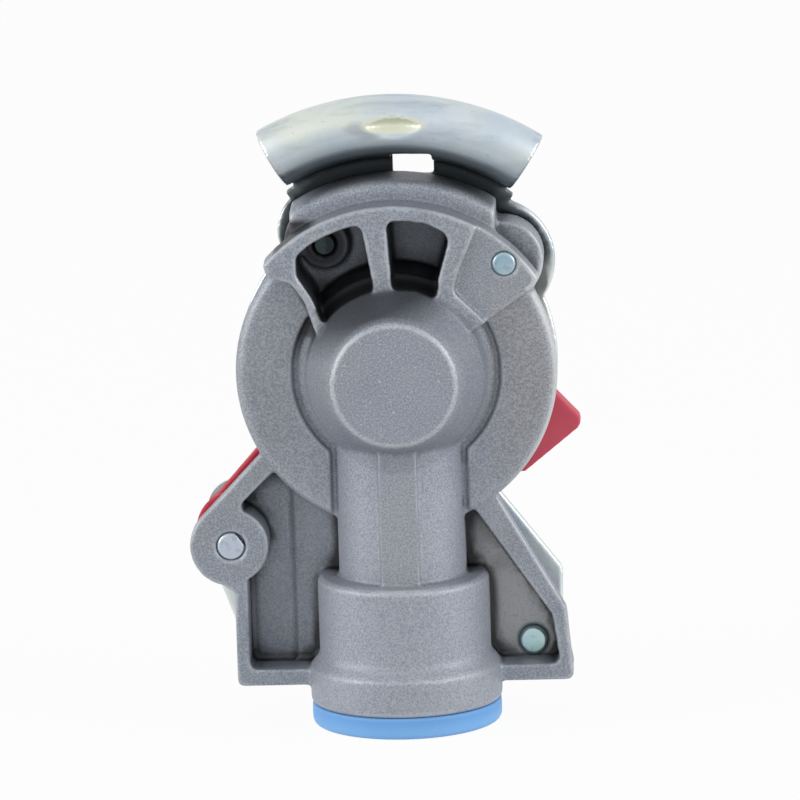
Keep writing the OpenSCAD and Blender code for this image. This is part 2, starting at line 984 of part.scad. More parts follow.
// Rubber ring on the valve's disc
module valve_seal() {
    color(rubber)
        turned()
            polygon([
                [nose_radius + seat_fit, poppet_front],
                [poppet_radius, poppet_front],
                [poppet_radius, seal_seat - moving_gap - 0.6],
                [poppet_radius - 0.6, seal_seat - moving_gap],
                [nose_radius + 1, seal_seat - moving_gap],
                [nose_radius + seat_fit, seal_seat - moving_gap - 0.8],
            ]);
}

// Spring that closes the valve
module valve_spring() {
    steps = 18;
    back = -pocket_back + cage_floor + valve_wire + 0.1;
    front = poppet_back - valve_wire - 0.1;
    color(spring_steel)
        wire(
            [
                for (i = [0 : steps * valve_turns])
                    let (at = seal_axis + polar(valve_coil, 360 * i / steps))
                    [at.x, back + (front - back) * i / (steps * valve_turns), at.y]
            ],
            valve_wire,
            8,
            [0, 1, 0]
        );
}

// Guide for the valve's rod, in the end of the dome
module valve_cage() {
    color(brass)
        turned()
            polygon([
                [0, -pocket_back],
                [pocket_radius - seat_fit, -pocket_back],
                [pocket_radius - seat_fit, -pocket_back + cage_floor],
                [guide_radius + 1.7, -pocket_back + cage_floor],
                [guide_radius + 1.7, guide_front],
                [guide_radius + running_fit, guide_front],
                [guide_radius + running_fit, -pocket_back + cage_floor],
                [0, -pocket_back + cage_floor],
            ]);
}

// Snap ring that holds the guide
module cage_ring() {
    color(spring_steel)
        turned(from = 90 + ring_gap / 2, to = 450 - ring_gap / 2)
            translate([pocket_radius - 1.1, -groove_back])
                square([groove_depth + 1, groove_width - 0.1]);
}

// Shipping plug in the port
module port_plug() {
    stem = thread_radius - 0.1;
    color(plug_blue)
        rotate_extrude()
            difference() {
                union() {
                    translate([0, plug_edge_rounding])
                        square([plug_flange_radius, port_floor - plug_edge_rounding]);
                    square([plug_flange_radius - plug_edge_rounding, plug_edge_rounding + 0.1]);
                    translate([plug_flange_radius - plug_edge_rounding, plug_edge_rounding])
                        intersection() {
                            circle(plug_edge_rounding);
                            translate([0, -10])
                                square([10, 10]);
                        }
                    square([stem, port_floor + 9]);
                }
                translate([0, port_floor - 1.5])
                    square([stem - 1.6, 20]);
            }
}

body_casting();
guide_plate();
rivet_upper_left();
rivet_upper_right();
rivet_lower_right();
lid();
lid_pin();
lid_spring();
pin_washer();
face_seal();
valve_poppet();
valve_seal();
valve_spring();
valve_cage();
cage_ring();
port_plug();
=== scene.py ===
# %% [markdown]
# # A coupling head for trailer air brakes
#
# This lesson dresses a solid model of a palm coupling: a grey casting with a domed valve chamber, a plated
# steel plate with a rolled claw, a red dust lid on a sprung pin and a blue plug in the port. The solids come
# from CAD and are never moved. Here they get soft edges, round wire and finishes that are made of nodes.

import json
import math

import bmesh
import bpy
import numpy as np
from mathutils import Matrix, Vector
from mathutils.bvhtree import BVHTree

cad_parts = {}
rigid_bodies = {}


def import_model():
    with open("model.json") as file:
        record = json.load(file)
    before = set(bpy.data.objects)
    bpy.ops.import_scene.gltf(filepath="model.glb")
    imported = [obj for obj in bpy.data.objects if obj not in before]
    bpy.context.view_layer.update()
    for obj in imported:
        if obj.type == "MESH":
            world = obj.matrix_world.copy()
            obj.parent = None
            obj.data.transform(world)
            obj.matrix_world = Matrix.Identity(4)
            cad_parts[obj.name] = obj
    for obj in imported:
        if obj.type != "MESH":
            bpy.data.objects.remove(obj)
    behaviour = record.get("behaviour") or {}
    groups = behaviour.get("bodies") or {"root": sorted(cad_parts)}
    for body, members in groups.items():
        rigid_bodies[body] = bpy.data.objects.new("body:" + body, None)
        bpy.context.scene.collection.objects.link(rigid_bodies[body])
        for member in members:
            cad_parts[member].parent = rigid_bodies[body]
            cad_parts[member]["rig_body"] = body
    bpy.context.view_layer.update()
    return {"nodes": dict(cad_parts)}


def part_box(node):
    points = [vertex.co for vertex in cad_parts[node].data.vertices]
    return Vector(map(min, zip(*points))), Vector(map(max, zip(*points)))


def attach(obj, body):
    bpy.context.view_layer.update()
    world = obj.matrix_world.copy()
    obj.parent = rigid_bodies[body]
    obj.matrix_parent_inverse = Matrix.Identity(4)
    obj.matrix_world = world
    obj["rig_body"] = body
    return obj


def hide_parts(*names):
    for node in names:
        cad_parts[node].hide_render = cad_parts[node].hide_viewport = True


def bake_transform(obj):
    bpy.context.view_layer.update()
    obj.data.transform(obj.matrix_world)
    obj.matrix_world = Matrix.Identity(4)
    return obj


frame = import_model()
nodes = frame["nodes"]

# %% [markdown]
# ## Sizes shared with the solids
#
# The solids are in metres, and their places are in their meshes. A few places are needed again for the round
# wire and for the finishes. They are read from the boxes of the nodes where that is possible, so a change in
# the CAD model moves what is made here as well.

# %% Places
MM = 0.001


def middle(node):
    low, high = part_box(node)
    return (low + high) / 2


pin_middle = middle("lid_pin")
wing_rivet = middle("rivet_lower_right")
window_rivet = middle("rivet_upper_left")
seal_middle = middle("face_seal")
print("pin at", tuple(round(v / MM, 2) for v in pin_middle))
print("seal at", tuple(round(v / MM, 2) for v in seal_middle))

# %% [markdown]
# ## Camera
#
# The photograph is almost free of perspective, so the camera stands far away with a long lens. It looks down
# by twelve degrees on the back of the head and leans a little, as the picture does. The axes of the camera
# are worked out one by one and put into its matrix, because a lean is awkward to give as three angles.

# %% Camera
AZIMUTH = 2.5
ELEVATION = 12.0
LEAN = 1.8
PIXELS_PER_MM = 5.0
SHIFT_PIXELS = (-2.0, 3.0)
AIM_HEIGHT = 65 * MM
IMAGE_SIDE = 800
LENS = 600.0


def make_camera(target):
    a, e, lean = (math.radians(v) for v in (AZIMUTH, ELEVATION, LEAN))
    right = Vector((math.cos(a), math.sin(a), 0))
    up = Vector((-math.sin(a) * math.sin(e), math.cos(a) * math.sin(e), math.cos(e)))
    back = Vector((math.sin(a) * math.cos(e), -math.cos(a) * math.cos(e), math.sin(e)))
    across = right * math.cos(lean) - up * math.sin(lean)
    upward = right * math.sin(lean) + up * math.cos(lean)
    data = bpy.data.cameras.new("camera")
    data.lens = LENS
    width = IMAGE_SIDE / PIXELS_PER_MM * MM
    distance = width * LENS / data.sensor_width
    data.clip_start, data.clip_end = 0.1, 50
    shift = [p / PIXELS_PER_MM * MM for p in SHIFT_PIXELS]
    place = target + back * distance - across * shift[0] + upward * shift[1]
    camera = bpy.data.objects.new("camera", data)
    camera.matrix_world = Matrix(
        [[across[i], upward[i], back[i], place[i]] for i in range(3)] + [[0, 0, 0, 1]]
    )
    bpy.context.scene.collection.objects.link(camera)
    bpy.context.scene.camera = camera
    return camera


camera = make_camera(Vector((0, 0, AIM_HEIGHT)))
print("camera at", tuple(round(v, 3) for v in camera.location))

# %% [markdown]
# ## Shader sums as plain Python
#
# A finish is a small program of nodes. Wrapping a socket in a class with operators lets us write the program
# as sums, such as `1 - mask * 0.5`. One method makes any node: its settings come first, then its sockets.
# The same class serves materials and the world, because both hold a tree of nodes.

# %% Sockets in sums


class Wire:
    """A socket of a finish that takes part in Python sums."""

    def __init__(self, finish, socket):
        self.finish = finish
        self.socket = socket

    def sum_with(self, operation, first, second):
        return self.finish.node("ShaderNodeMath", {"operation": operation}, {0: first, 1: second})

    def __add__(self, other):
        return self.sum_with("ADD", self, other)

    def __radd__(self, other):
        return self.sum_with("ADD", other, self)

    def __sub__(self, other):
        return self.sum_with("SUBTRACT", self, other)

    def __rsub__(self, other):
        return self.sum_with("SUBTRACT", other, self)

    def __mul__(self, other):
        return self.sum_with("MULTIPLY", self, other)

    def __rmul__(self, other):
        return self.sum_with("MULTIPLY", other, self)

    def __pow__(self, other):
        return self.sum_with("POWER", self, other)

    def most(self, other):
        return self.sum_with("MAXIMUM", self, other)


# %% Finish kit


class Finish:
    """A material, or a world, whose nodes are made one by one."""

    def __init__(self, name, kind=bpy.data.materials):
        self.owner = kind.new(name)
        self.owner.use_nodes = True
        self.tree = self.owner.node_tree
        self.tree.nodes.clear()

    def node(self, kind, settings=None, sockets=None, output=0):
        made = self.tree.nodes.new(kind)
        for key, value in (settings or {}).items():
            setattr(made, key, value)
        for key, value in (sockets or {}).items():
            if isinstance(value, Wire):
                self.tree.links.new(value.socket, made.inputs[key])
            else:
                made.inputs[key].default_value = value
        return Wire(self, made.outputs[output]) if made.outputs else None

    def place(self):
        return self.node("ShaderNodeTexCoord", output="Object")

    def axes(self):
        """The side, depth and height of a point, in millimetres."""
        scaled = self.node("ShaderNodeVectorMath", {"operation": "SCALE"}, {0: self.place(), "Scale": 1 / MM})
        split = self.node("ShaderNodeSeparateXYZ", {}, {0: scaled})
        outputs = split.socket.node.outputs
        return [Wire(self, outputs[i]) for i in range(3)]

    def noise(self, scale, detail=3.0, roughness=0.55, stretch=(1, 1, 1)):
        where = self.node("ShaderNodeMapping", {}, {"Vector": self.place(), "Scale": stretch})
        sockets = {"Vector": where, "Scale": scale, "Detail": detail, "Roughness": roughness}
        return self.node("ShaderNodeTexNoise", {}, sockets)

    def band(self, value, low, high):
        """0 below low, 1 above high and a straight ramp between."""
        settings = {"clamp": True}
        sockets = {0: value, 1: low, 2: high, 3: 0.0, 4: 1.0}
        return self.node("ShaderNodeMapRange", settings, sockets)

    def below(self, value, low, high):
        """1 below low, 0 above high and a straight ramp between."""
        return 1 - self.band(value, low, high)

    def between(self, value, rise, fall):
        """1 from the end of one ramp to the start of another, and 0 outside them."""
        return self.band(value, *rise) * self.below(value, *fall)

    def distance(self, across, upward):
        return (across * across + upward * upward) ** 0.5

    def mix(self, factor, first, second):
        def colour(value):
            return value if isinstance(value, Wire) else (*value, 1)

        settings = {"data_type": "RGBA", "blend_type": "MIX", "clamp_factor": True}
        sockets = {0: factor, 6: colour(first), 7: colour(second)}
        return self.node("ShaderNodeMix", settings, sockets, output=2)

    def layered(self, base, layers):
        """A colour under layers, each of which is a mask and a tint."""
        for mask, tint in layers:
            base = self.mix(mask, base, tint)
        return base

    def attribute(self, name):
        return self.node("ShaderNodeAttribute", {"attribute_name": name}, output="Fac")

    def bump(self, height, distance, strength=1.0):
        sockets = {"Height": height, "Distance": distance, "Strength": strength}
        return self.node("ShaderNodeBump", {}, sockets)

    def surface(self, **sockets):
        named = {key.replace("_", " ").title(): value for key, value in sockets.items()}
        named = {key.replace("Ior", "IOR"): value for key, value in named.items()}
        shader = self.node("ShaderNodeBsdfPrincipled", {}, named)
        self.node("ShaderNodeOutputMaterial", {}, {"Surface": shader})
        return self.owner


# %% Colours


def srgb(red, green, blue):
    """A colour as the eye reads it, 0 to 255, turned into the linear values that nodes use."""

    def linear(value):
        value /= 255
        return value / 12.92 if value <= 0.04045 else ((value + 0.055) / 1.055) ** 2.4

    return tuple(linear(v) for v in (red, green, blue))


print("mid grey is", [round(v, 3) for v in srgb(128, 128, 128)])

# %% [markdown]
# ## The cast grey
#
# The body is a die casting that was blasted: an even grey with a faint blue, a fine sparkle of grain and
# lighter edges where it was rubbed. On top of that, light and shade are painted into its colour: corners,
# hollows, the windows and the bases of walls are darkened, the wing floors are lightened, and two edges get a
# painted highlight. Rubbed edges and painted shade could come from the shader alone, but values that are
# stored on the mesh look the same in every renderer. The cast finish reads three: `edge` is above one half on
# ridges and below it in corners, `shelter` tells how much of the sky is hidden by what stands around a point,
# and `nook` counts only what stands very near. Broad tones, such as the paler neck, and painted shade, such
# as the dark windows, are masks on the place of a point. The finish is then a list of layers, each a mask and
# a tint, from the bare grey up to the darkest painted shade.

# %% Places on the casting
NECK_END = (46, 56)
DOME_SLANT = 0.35
WINDOW_SLANT = 0.5
WINDOW_FOOT = 82


class CastingPlaces:
    """Masks of the parts of the casting that keep a tone of their own or get painted light or shade, with
    limits in millimetres.
    """

    def __init__(self, f, edge, shelter):
        side, depth, height = f.axes()
        radius = f.distance(side, height - seal_middle.z / MM)
        from_rivet = f.distance(side - window_rivet.x / MM, height - window_rivet.z / MM)
        from_wing_rivet = f.distance(side - wing_rivet.x / MM, height - wing_rivet.z / MM)

        # The neck from the port to the ring, and the wings beside it, whose floors get painted light
        self.neck = f.below(height, *NECK_END) * f.below(side * side, 19**2, 21**2)
        self.spine = f.below(side * side, 3.6**2, 4.2**2) * self.neck * f.band(height, 30, 31)
        self.wing_floor_light = f.band(depth, 2, 5) * f.below(height, 46, 52) * f.band(shelter, 0.22, 0.36)
        self.right_floor_light = self.wing_floor_light * f.band(side, -12, 16)
        self.rivet_seat = f.below(from_wing_rivet**2, 3**2, 4.2**2)

        # The ring and the dome, with a painted highlight on the ring's right edge and painted shade on the
        # dome's top and foot
        self.ring_right = f.band(side, 17, 21) * f.between(height, NECK_END, (86, 92))
        self.ring_edge_highlight = f.band(edge, 0.55, 0.66) * f.band(radius, 31.1, 31.7) * f.band(side, 12, 20)
        self.ring_edge_highlight = self.ring_edge_highlight * f.between(height, NECK_END, (90, 96))
        self.dome_front = f.below(depth, -16.4, -15.5)
        self.dome_wall = f.between(radius, (12.8, 14.2), (18.2, 19)) * f.below(depth, -6, -4)
        self.dome_wall = self.dome_wall * (1 - self.neck)
        over_dome = f.band(height - side * DOME_SLANT, 81.2, 86.8)
        self.dome_top_shade = over_dome * f.band(depth, -16.8, -14.8) * f.below(radius, 17.4, 18.2)
        self.dome_foot_shade = over_dome * f.band(depth, -13.8, -11.2) * f.below(radius, 20.6, 21.4)
        self.dome_foot_shade = self.dome_foot_shade * f.band(shelter, 0.2, 0.34)

        # The windows, and the boss in the left one, all with painted shade
        self.near_boss = f.below(from_rivet, 6.6, 8) * f.band(depth, 3, 3.6)
        self.boss = f.below(from_rivet, 5.2, 5.8) * self.near_boss
        self.boss_shadow_ring = self.boss * f.between(from_rivet, (2.4, 2.7), (3.6, 4.6))
        slanted = side + (height - WINDOW_FOOT) * WINDOW_SLANT
        window_sides = f.band(slanted, -16.5, -15.5) * f.below(side, 10.8, 11.8)
        window_ends = f.between(height, (WINDOW_FOOT, 84), (102.5, 103.5))
        self.window = f.between(depth, (-8.2, -7.3), (5.2, 6.4)) * window_ends * window_sides
        self.window = self.window * (1 - self.boss)

        # Sheltered hollows on the back, whose corners and wall bases get painted shade
        self.pocket = f.band(shelter, 0.3, 0.5) * f.band(depth, -2.5, -1)
        self.upper_half = f.band(height, 60, 70)


# %% Casting finish


def make_casting_finish():
    f = Finish("cast_grey")
    grain = f.noise(2600, 3.0, 0.65)
    fine = f.noise(5200, 1.0, 0.5)
    cloud = f.noise(95, 4.0, 0.6)
    patch = f.noise(26, 3.0, 0.5)
    spark = f.noise(2000, 1.0, 0.5)
    scratch = f.noise(900, 1.0, 0.4, (0.07, 0.5, 1))
    edge, shelter, nook = (f.attribute(name) for name in ("edge", "shelter", "nook"))
    at = CastingPlaces(f, edge, shelter)

    # Wear on ridges; painted shade in corners, at the bases of walls and in deep hollows; a painted highlight
    # on the dome's rim
    grainy_edge = edge + (grain - 0.5) * 0.3
    rubbed = f.band(grainy_edge, 0.6, 0.78) * f.band(cloud, 0.25, 0.55) * (1 - at.neck * 0.4)
    rim_highlight = f.band(grainy_edge, 0.62, 0.74) * at.dome_front
    corner_shade = f.below(edge + (cloud - 0.5) * 0.1, 0.24, 0.45) * (0.22 + at.pocket * 0.53)
    corner_shade = corner_shade * (1 - at.near_boss * 0.8)
    wall_foot_shade = f.band(nook + (cloud - 0.5) * 0.1, 0.09, 0.34) * at.pocket * (1 - at.rivet_seat)
    wall_foot_shade = wall_foot_shade * (1 - at.upper_half * 0.55) * (1 - at.near_boss)
    deep_shade = f.band(shelter + (cloud - 0.5) * 0.12, 0.6, 0.9)
    scratched = f.band(scratch, 0.73, 0.79) * f.band(patch, 0.5, 0.65)

    base = f.mix(f.band(cloud, 0.3, 0.7), srgb(136, 143, 156), srgb(146, 153, 164))
    layers = [
        (f.band(patch, 0.5, 0.7) * 0.5, srgb(149, 149, 151)),
        (at.neck * 0.5, srgb(165, 170, 182)),
        (at.ring_right * 0.6, srgb(154, 153, 154)),
        (at.spine * 0.5, srgb(146, 149, 152)),
        # Painted light: the wing floors are lightened where they are sheltered, the right one most
        (at.wing_floor_light * 0.35, srgb(172, 176, 186)),
        (at.right_floor_light * 0.8, srgb(204, 204, 204)),
        (f.band(grain, 0.46, 0.68) * 0.62, srgb(186, 190, 196)),
        (f.below(grain, 0.3, 0.5) * 0.42, srgb(94, 98, 108)),
        (rubbed * 0.52, srgb(192, 197, 203)),
        # Painted highlight along the front rim of the dome
        (rim_highlight * 0.5, srgb(192, 197, 203)),
        (at.rivet_seat * 0.4, srgb(196, 199, 200)),
        (f.band(spark, 0.71, 0.78) * 0.6, srgb(216, 217, 216)),
        (scratched * 0.35, srgb(206, 206, 204)),
        (at.dome_wall * 0.25, srgb(92, 96, 107)),
        # Painted highlight on the right edge of the ring
        (at.ring_edge_highlight * 0.6, srgb(220, 222, 224)),
        # Painted shade from here down: the dome's top and foot, corners, hollows, the windows, the boss and
        # the bases of walls
        (at.dome_top_shade * 0.85, srgb(50, 53, 59)),
        (corner_shade, srgb(62, 65, 72)),
        (deep_shade * 0.2, srgb(72, 76, 84)),
        (at.window * 0.92, srgb(24, 26, 30)),
        (at.dome_foot_shade * 0.9, srgb(18, 19, 22)),
        (at.boss * 0.7, srgb(64, 68, 75)),
        (at.boss_shadow_ring * 0.85, srgb(20, 22, 25)),
        (wall_foot_shade * 0.88, srgb(26, 28, 31)),
    ]
    relief = grain * 0.6 + fine * 0.3 + cloud * 0.5
    print("layers of the cast finish:", len(layers))
    return f.surface(
        base_color=f.layered(base, layers),
        roughness=0.52 + (grain - 0.5) * 0.3 - rubbed * 0.1,
        metallic=0.3,
        normal=f.bump(relief, 0.12 * MM, 0.55),
    )


cast_grey = make_casting_finish()
print("finish:", cast_grey.name)

# %% [markdown]
# ## Plated steel
#
# The claw plate is bright zinc. Its passivation leaves soft clouds of pale yellow and blue, and the press
# leaves faint lines along the sheet. The rivets and the pin have the same plating with a blue, a green or a
# grey tint. So the clouds and the surface are two shared functions, and the plate adds the tones of its own
# places and painted shade: its claw is darker where it faces down and where it is sheltered, and so are its
# ears and the web under the claw. A fourth value on the mesh, `under`, tells how far a point faces down.

# %% Plating finishes


def plated_colour(f, cool, warm):
    """Clouds of two tints, with pale drifts and lighter ridges."""
    cloud = f.noise(60, 3.0, 0.55)
    drift = f.noise(150, 3.0, 0.6)
    layers = [
        (f.band(drift, 0.5, 0.72) * 0.35, srgb(226, 230, 232)),
        (f.band(f.attribute("edge"), 0.62, 0.9) * 0.3, srgb(232, 234, 234)),
    ]
    return f.layered(f.mix(f.band(cloud, 0.38, 0.64), cool, warm), layers)


def plated_surface(f, base, lines, rough_low):
    spots = f.noise(900, 2.0, 0.5)
    return f.surface(
        base_color=f.mix(f.band(spots, 0.66, 0.76) * 0.2, base, srgb(120, 126, 128)),
        roughness=rough_low + lines * 0.16 + spots * 0.06,
        metallic=0.85,
        normal=f.bump(lines * 0.7 + spots * 0.3, 0.06 * MM, 0.35),
    )


DIMPLE_MIDDLE = (0.9, 122.2)
DIMPLE_HALF = (6.25, 1.786)


def make_plate_finish():
    f = Finish("plate_zinc")
    lines = f.noise(420, 3.0, 0.6, (0.25, 1, 1))
    streak = f.noise(230, 4.0, 0.6, (0.1, 1, 1))
    blot = f.noise(130, 2.0, 0.5, (0.6, 1, 1))
    under, shelter = f.attribute("under"), f.attribute("shelter")

    # Places on the plate, in millimetres
    side, depth, height = f.axes()
    back = f.below(depth, 11.4, 11.9)
    web = f.between(height, (101.5, 104), (112.5, 114.5)) * f.band(depth, 8, 9) * back
    claw = f.band(height, 88, 94)
    ear = f.between(height, (80, 86), (104.5, 106.5)) * back
    across = (side - DIMPLE_MIDDLE[0]) * (1 / DIMPLE_HALF[0])
    upward = (height - DIMPLE_MIDDLE[1]) * (1 / DIMPLE_HALF[1])
    dimple = f.below(across * across + upward * upward, 0.75, 1.3) * f.below(depth, 0, 2)

    layers = [
        # Painted shade: the claw turns greyer where it starts to face down
        (f.band(under, 0.28, 0.48) * claw * 0.42, srgb(146, 158, 170)),
        (f.band(streak, 0.5, 0.68) * claw * 0.45, srgb(142, 154, 166)),
        (f.band(blot, 0.68, 0.76) * 0.35, srgb(120, 128, 136)),
        (dimple * 0.75, srgb(222, 224, 196)),
        # Painted shade: the claw is darkest where it faces down and where it is sheltered, and so are the
        # sheltered ears and the web
        (f.band(under, 0.54, 0.9) * claw * (1 - dimple) * 0.84, srgb(62, 72, 76)),
        (f.band(shelter, 0.26, 0.44) * ear * 0.8, srgb(84, 86, 84)),
        (f.band(shelter, 0.45, 0.66) * claw * back * 0.95, srgb(24, 28, 31)),
        (web * 0.85, srgb(52, 58, 60)),
    ]
    base = plated_colour(f, srgb(196, 208, 218), srgb(216, 222, 214))
    return plated_surface(f, f.layered(base, layers), lines, 0.24)


def make_rivet_finish(name, cool, warm, back_shade=0.0):
    """The plating of a rivet or pin, whose back end may get painted shade."""
    f = Finish(name)
    lines = f.noise(420, 3.0, 0.6)
    pits = f.noise(700, 2.0, 0.5)
    layers = [(f.band(pits, 0.52, 0.66) * 0.25, srgb(96, 116, 130))]
    # Painted shade on the back end, darkest where it is sheltered
    if back_shade:
        _, depth, _ = f.axes()
        shaded_back = f.below(depth, 8, 10) * back_shade
        layers.append((shaded_back, srgb(78, 94, 93)))
        layers.append((f.band(f.attribute("shelter"), 0.3, 0.62) * shaded_back, srgb(30, 36, 36)))
    base = f.layered(plated_colour(f, cool, warm), layers)
    return plated_surface(f, base, lines, 0.3)


plate_zinc = make_plate_finish()
rivet_blue = make_rivet_finish("rivet_blue", srgb(138, 168, 186), srgb(145, 173, 187))
rivet_green = make_rivet_finish("rivet_green", srgb(178, 214, 220), srgb(184, 218, 212))
rivet_shaded = make_rivet_finish("rivet_shaded", srgb(146, 172, 186), srgb(152, 176, 186), 0.9)
pin_grey = make_rivet_finish("pin_grey", srgb(177, 189, 207), srgb(186, 195, 208))
print("finishes:", plate_zinc.name, rivet_blue.name, rivet_green.name, rivet_shaded.name, pin_grey.name)

# %% [markdown]
# ## Moulded plastics and rubber
#
# The lid is a dull red plastic and the plug a softer blue one. Both have a faint orange-peel skin, paler
# rubbed edges and a little handling dust, and their creases get painted shade. The rubber of the seals is
# nearly black, with a dry bloom and the same painted shade in its creases.

# %% Plastic and rubber finishes


def make_moulded_finish(name, body, pale, crease_shade, rough_low, grain_scale, fade=None):
    f = Finish(name)
    cloud = f.noise(70, 4.0, 0.6)
    grain = f.noise(grain_scale, 2.0, 0.5)
    scuff = f.noise(240, 4.0, 0.65, (1, 0.3, 0.3))
    edge = f.attribute("edge")
    layers = [(f.band(cloud, 0.35, 0.7) * 0.4, pale)]
    if fade:
        axis, start, end, tint = fade
        layers.append((f.band(f.axes()[axis], start, end) * (0.6 + cloud * 0.5), tint))
    layers += [
        (f.band(scuff, 0.6, 0.78) * 0.25, pale),
        (f.band(edge, 0.6, 0.9) * 0.35, pale),
        # Painted shade in creases
        (f.below(edge, 0.2, 0.46) * 0.5, crease_shade),
    ]
    return f.surface(
        base_color=f.layered(body, layers),
        roughness=rough_low + scuff * 0.2,
        specular_ior_level=0.3,
        normal=f.bump(grain * 0.6 + scuff * 0.4, 0.06 * MM, 0.4),
    )


# The lid is paler towards its tab, as painted light, and the plug is deeper in tone close to the port. A fade
# names its axis, where it starts and ends in millimetres, and its tint.
SIDE_AXIS, HEIGHT_AXIS = 0, 2
lid_red = make_moulded_finish(
    "lid_red",
    srgb(184, 28, 46),
    srgb(204, 70, 88),
    srgb(120, 14, 26),
    0.44,
    1500,
    (SIDE_AXIS, 10, 28, srgb(218, 94, 112)),
)
plug_blue = make_moulded_finish(
    "plug_blue",
    srgb(132, 188, 242),
    srgb(150, 200, 246),
    srgb(64, 116, 184),
    0.4,
    1200,
    (HEIGHT_AXIS, 1.2, 4.2, srgb(104, 164, 230)),
)
seal_rubber = make_moulded_finish(
    "seal_rubber", srgb(38, 38, 40), srgb(66, 66, 68), srgb(20, 20, 21), 0.6, 1800
)
print("finishes:", lid_red.name, plug_blue.name, seal_rubber.name)

# %% [markdown]
# ## Brass and spring wire
#
# The valve is turned brass, with fine rings from the lathe round its axis. The springs are drawn wire with a
# dark, slightly oily skin. Neither shows in the photograph, yet both are seen when the lid swings away.

# %% Turned and drawn finishes


def make_turned_finish(name, base_tint, dull_tint, rough_low):
    f = Finish(name)
    cloud = f.noise(180, 3.0, 0.6)
    rings = f.noise(1600, 2.0, 0.5, (0.2, 1, 0.2))
    base = f.mix(f.band(cloud, 0.35, 0.7), base_tint, dull_tint)
    return f.surface(
        base_color=base,
        roughness=rough_low + rings * 0.18,
        metallic=0.95,
        normal=f.bump(rings, 0.04 * MM, 0.4),
    )


turned_brass = make_turned_finish("turned_brass", srgb(206, 176, 112), srgb(176, 142, 84), 0.22)
drawn_wire = make_turned_finish("drawn_wire", srgb(150, 152, 156), srgb(112, 113, 117), 0.26)
print("finishes:", turned_brass.name, drawn_wire.name)

# %% [markdown]
# ## Soft edges from the solids
#
# A real casting has no sharp edges, and neither has pressed sheet or moulded plastic. A bevel would trip over
# the uneven triangles of a CAD mesh. So a copy of the solid is rebuilt from small even cells, which are then
# smoothed a few times. That rounds ridges and fills corners like the fillets of a mould. At the end the copy
# is thinned, and the four values that the finishes read are stored on it.

# %% Ridges and corners


def numbers(items, name, width):
    """One property of all the items as an array."""
    flat = np.empty(len(items) * width)
    items.foreach_get(name, flat)
    return flat.reshape(-1, width)


class Links:
    """The edges of a mesh, for sums over neighbours."""

    def __init__(self, mesh):
        self.count = len(mesh.vertices)
        pairs = np.empty(len(mesh.edges) * 2, dtype=np.int64)
        mesh.edges.foreach_get("vertices", pairs)
        self.one, self.two = pairs.reshape(-1, 2).T
        self.degree = np.maximum(self.total(1.0, 1.0), 1)

    def total(self, at_one, at_two):
        size = len(self.one)
        first = np.bincount(self.one, np.broadcast_to(at_one, size), self.count)
        return first + np.bincount(self.two, np.broadcast_to(at_two, size), self.count)

    def softened(self, value, times):
        for _ in range(times):
            near = self.total(value[self.two], value[self.one]) / self.degree
            value = 0.5 * value + 0.5 * near
        return value


def edge_values(mesh, links, reach):
    points = numbers(mesh.vertices, "co", 3)
    normals = numbers(mesh.vertices, "normal", 3)
    span = points[links.two] - points[links.one]
    square = np.maximum((span * span).sum(1), 1e-14)
    rise = (span * normals[links.one]).sum(1) / square
    fall = -(span * normals[links.two]).sum(1) / square
    bend = links.softened(links.total(rise, fall) / links.degree, 3)
    return np.clip(0.5 - bend * reach, 0, 1)


# %% Shelter
SMALL = ("rivet_upper_left", "rivet_upper_right", "rivet_lower_right", "lid_pin")


def all_solids():
    """One search tree over the solids at rest, but for the small ones that sit close in their holes."""
    corners, faces = [], []
    for item in (nodes[name] for name in nodes if name not in SMALL):
        start = len(corners)
        corners.extend(v.co.copy() for v in item.data.vertices)
        faces.extend([start + i for i in p.vertices] for p in item.data.polygons)
    print("search tree over", len(faces), "faces")
    return BVHTree.FromPolygons(corners, faces)


GOLDEN_ANGLE = 2.39996


def even_directions(count):
    """Directions spread evenly over a sphere, along a spiral that turns by the golden angle."""
    directions = []
    for k in range(count):
        height = 1 - 2 * (k + 0.5) / count
        ring = math.sqrt(1 - height * height)
        turn = k * GOLDEN_ANGLE
        directions.append(Vector((math.cos(turn) * ring, math.sin(turn) * ring, height)))
    return directions


SOLIDS = all_solids()
SKY = even_directions(28)
GRAZING = 0.12
FAR_REACH = 14 * MM
NEAR_REACH = 3.4 * MM
print("directions to the sky:", len(SKY))


def shelter_values(mesh, links, far, near, lift=0.45 * MM):
    """The shares of the rays from each point that meet a solid within far, and within near."""
    points = numbers(mesh.vertices, "co", 3)
    normals = numbers(mesh.vertices, "normal", 3)
    facing = normals @ np.array(SKY).T
    starts = points + normals * lift
    shares = np.zeros((2, len(points)))
    for i in range(len(points)):
        start = Vector(starts[i])
        sent = 1e-9
        for k in np.flatnonzero(facing[i] > GRAZING):
            weight = facing[i, k]
            sent += weight
            met, _, _, length = SOLIDS.ray_cast(start, SKY[k], far)
            if met is not None:
                shares[0, i] += weight
                shares[1, i] += weight * (length < near)
        shares[:, i] /= sent
    return links.softened(shares[0], 2), links.softened(shares[1], 1)


# %% Values on the mesh
EDGE_CELLS = 3


def store_values(mesh, cell):
    """The four values that the finishes read, on the points of a mesh."""
    links = Links(mesh)
    shelter, nook = shelter_values(mesh, links, FAR_REACH, NEAR_REACH)
    values = {
        "edge": edge_values(mesh, links, EDGE_CELLS * cell),
        "shelter": shelter,
        "nook": nook,
        "under": 0.5 - 0.5 * numbers(mesh.vertices, "normal", 3)[:, 2],
    }
    for name, value in values.items():
        stored = mesh.attributes.new(name, "FLOAT", "POINT")
        stored.data.foreach_set("value", value.astype(np.float32))
    return {name: round(float(value.mean()), 3) for name, value in values.items()}


# %% Soft copies


